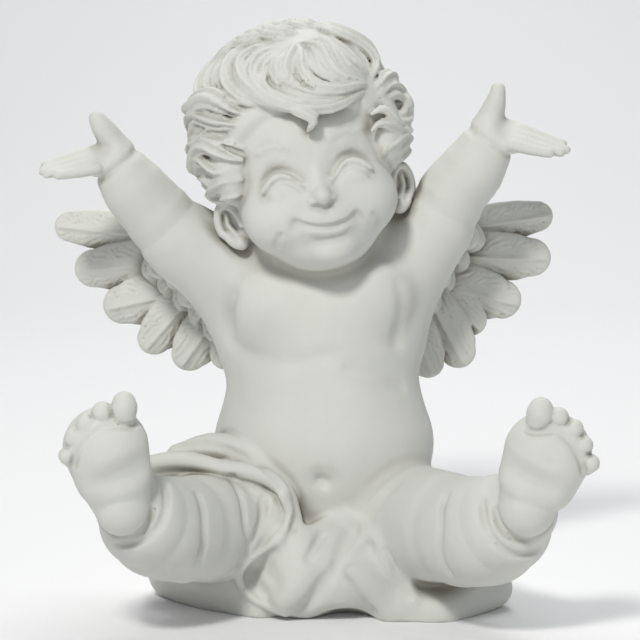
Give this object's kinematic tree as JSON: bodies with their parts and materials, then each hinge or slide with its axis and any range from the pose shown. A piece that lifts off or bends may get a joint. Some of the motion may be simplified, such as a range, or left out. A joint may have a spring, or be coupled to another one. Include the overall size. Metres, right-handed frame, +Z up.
{
  "type": "garden statue",
  "caption": "Seated winged putto with curly hair, raised arms and a smile, on a spread cloth, cast in one piece of pale stone.",
  "frame": {"origin": "on the ground under the figure's seat, a point of the level underside", "axes": "+Z up, the figure faces -Y, +X is to the viewer's right, which is the figure's left"},
  "size_m": [0.3276, 0.2255, 0.3598],
  "materials": {
    "stone": "matte cast stone, pale grey-white, slightly warmer in the hollows"
  },
  "bodies": {
    "root": {"statue": "stone"}
  },
  "joints": []
}
